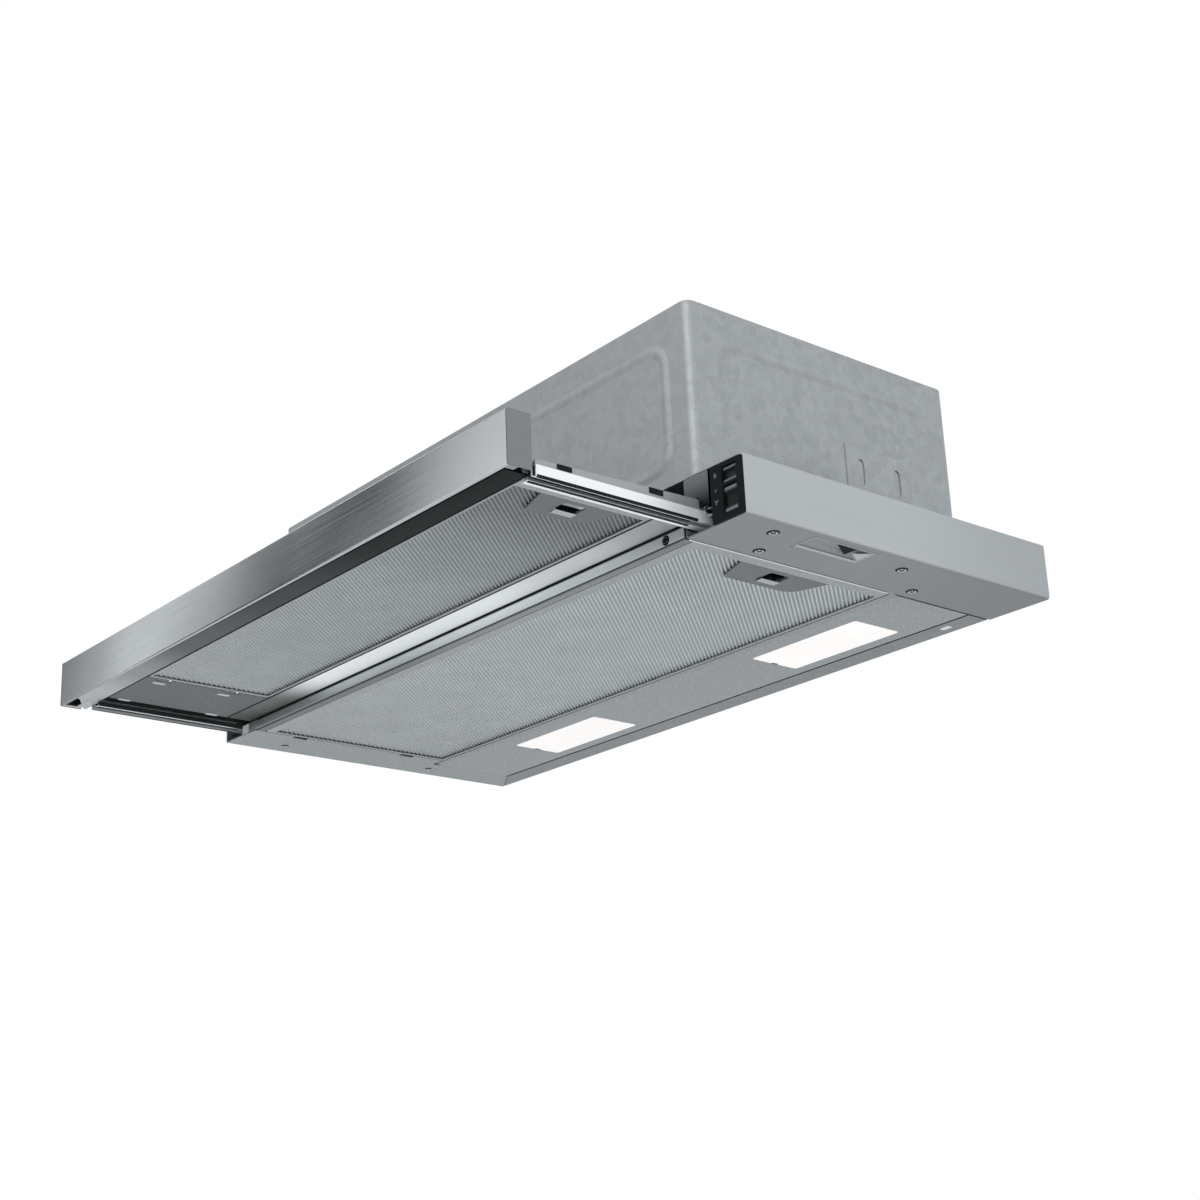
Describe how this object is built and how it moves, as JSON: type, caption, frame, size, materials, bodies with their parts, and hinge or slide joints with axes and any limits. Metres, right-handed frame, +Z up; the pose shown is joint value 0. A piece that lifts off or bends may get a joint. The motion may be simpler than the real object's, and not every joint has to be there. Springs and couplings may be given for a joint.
{
  "type": "pull out range hood",
  "caption": "Slim cooker hood with a pull-out filter drawer, front bar, hinged grease filters, LED lamps, side rocker controls and a blower housing that hides in the wall cabinet.",
  "frame": {"origin": "middle of the width, on the wall plane, at the level of the canopy's top face, where the cabinet holds the hood", "axes": "+X to the right along the front bar, +Y from the front bar towards the wall, +Z up"},
  "size_m": [0.598, 0.4247, 0.1964],
  "materials": {
    "brushed_steel": "stainless steel brushed along its length",
    "bright_steel": "bright smooth steel",
    "dark_steel": "satin dark grey",
    "galvanised": "satin grey coated steel sheet",
    "aluminium": "plain satin aluminium",
    "filter_mesh": "layered expanded aluminium mesh",
    "black_plastic": "fine matte black",
    "grey_plastic": "matte dark grey",
    "pale_plastic": "matte pale grey",
    "lamp_lens": "opal diffuser, lit",
    "motor_copper": "varnished winding and laminated steel"
  },
  "bodies": {
    "canopy": {"canopy_shell": "galvanised", "rear_filler_strip": "dark_steel", "filter_front_lip": "brushed_steel", "right_cover": "brushed_steel", "window_tray": "pale_plastic", "slide_bracket": "galvanised", "control_panel": "black_plastic", "switch_unit": "grey_plastic", "drawer_switch": "black_plastic", "lamp_plate": "brushed_steel", "lamp_lens_left": "lamp_lens", "lamp_housing_left": "pale_plastic", "lamp_lens_right": "lamp_lens", "lamp_housing_right": "pale_plastic", "led_driver": "pale_plastic", "slide_outer_left": "galvanised", "slide_outer_right": "galvanised", "slot_guard_left": "dark_steel", "slot_guard_right": "dark_steel", "motor_housing": "galvanised", "outlet_collar": "black_plastic", "damper_pin": "bright_steel", "blower_scroll": "galvanised", "motor_bracket": "galvanised", "motor": "motor_copper", "capacitor": "pale_plastic", "connection_box": "black_plastic", "connection_box_lid": "black_plastic", "cable_gland": "black_plastic", "side_bracket_left": "galvanised", "side_bracket_right": "galvanised"},
    "drawer": {"front_bar": "brushed_steel", "bar_end_cap_left": "dark_steel", "bar_end_cap_right": "dark_steel", "drawer_front_profile": "brushed_steel", "drawer_frame": "dark_steel", "drawer_rear_crossbar": "bright_steel", "drawer_rail_left": "aluminium", "drawer_rail_right": "aluminium", "slide_inner_left": "bright_steel", "slide_inner_right": "bright_steel"},
    "cage_left": {"ball_cage_left": "bright_steel"},
    "cage_right": {"ball_cage_right": "bright_steel"},
    "main_filter": {"main_filter_frame": "aluminium", "main_filter_mesh": "filter_mesh", "main_filter_latch_plate": "dark_steel"},
    "main_catch": {"main_filter_catch": "bright_steel"},
    "drawer_filter": {"drawer_filter_frame": "aluminium", "drawer_filter_mesh": "filter_mesh", "drawer_filter_latch_plate": "dark_steel"},
    "drawer_catch": {"drawer_filter_catch": "bright_steel"},
    "light_switch": {"light_rocker": "black_plastic"},
    "fan_switch": {"fan_rocker": "black_plastic"},
    "blower_wheel": {"impeller": "grey_plastic", "motor_shaft": "bright_steel"},
    "flap_front": {"damper_flap_front": "grey_plastic"},
    "flap_rear": {"damper_flap_rear": "grey_plastic"}
  },
  "joints": [
    {"name": "drawer_slide", "type": "slide", "parent": "canopy", "child": "drawer", "axis": [0, -1, 0], "range_m": [-0.127, 0]},
    {"name": "cage_left_slide", "type": "slide", "parent": "canopy", "child": "cage_left", "axis": [0, -1, 0], "range_m": [-0.0636, 0]},
    {"name": "cage_right_slide", "type": "slide", "parent": "canopy", "child": "cage_right", "axis": [0, -1, 0], "range_m": [-0.0636, 0]},
    {"name": "main_filter_hinge", "type": "hinge", "parent": "canopy", "child": "main_filter", "pos_m": [-0.2562, -0.18, -0.036], "axis": [0, 1, 0], "range_deg": [0, 60]},
    {"name": "main_catch_slide", "type": "slide", "parent": "main_filter", "child": "main_catch", "axis": [-1, 0, 0], "range_m": [0, 0.004], "stiffness_N_per_m": 300},
    {"name": "drawer_filter_hinge", "type": "hinge", "parent": "drawer", "child": "drawer_filter", "pos_m": [-0.201, -0.353, -0.027], "axis": [0, 1, 0], "range_deg": [0, 35]},
    {"name": "drawer_catch_slide", "type": "slide", "parent": "drawer_filter", "child": "drawer_catch", "axis": [-1, 0, 0], "range_m": [0, 0.004], "stiffness_N_per_m": 300},
    {"name": "light_rocker_tilt", "type": "hinge", "parent": "canopy", "child": "light_switch", "pos_m": [0.2884, -0.2774, -0.0094], "axis": [1, 0, 0], "range_deg": [0, 12]},
    {"name": "fan_rocker_tilt", "type": "hinge", "parent": "canopy", "child": "fan_switch", "pos_m": [0.2884, -0.2774, -0.0251], "axis": [1, 0, 0], "range_deg": [-8, 8]},
    {"name": "blower_spin", "type": "hinge", "parent": "canopy", "child": "blower_wheel", "pos_m": [0, -0.15, 0.06], "axis": [1, 0, 0], "continuous": true},
    {"name": "flap_front_swing", "type": "hinge", "parent": "canopy", "child": "flap_front", "pos_m": [0, -0.11307, 0.1414], "axis": [-1, 0, 0], "range_deg": [0, 75]},
    {"name": "flap_rear_swing", "type": "hinge", "parent": "canopy", "child": "flap_rear", "pos_m": [0, -0.11307, 0.1414], "axis": [1, 0, 0], "range_deg": [0, 75]}
  ],
  "couplings": [
    {"joint": "cage_left_slide", "follows": "drawer_slide", "ratio": 0.5},
    {"joint": "cage_right_slide", "follows": "drawer_slide", "ratio": 0.5}
  ]
}
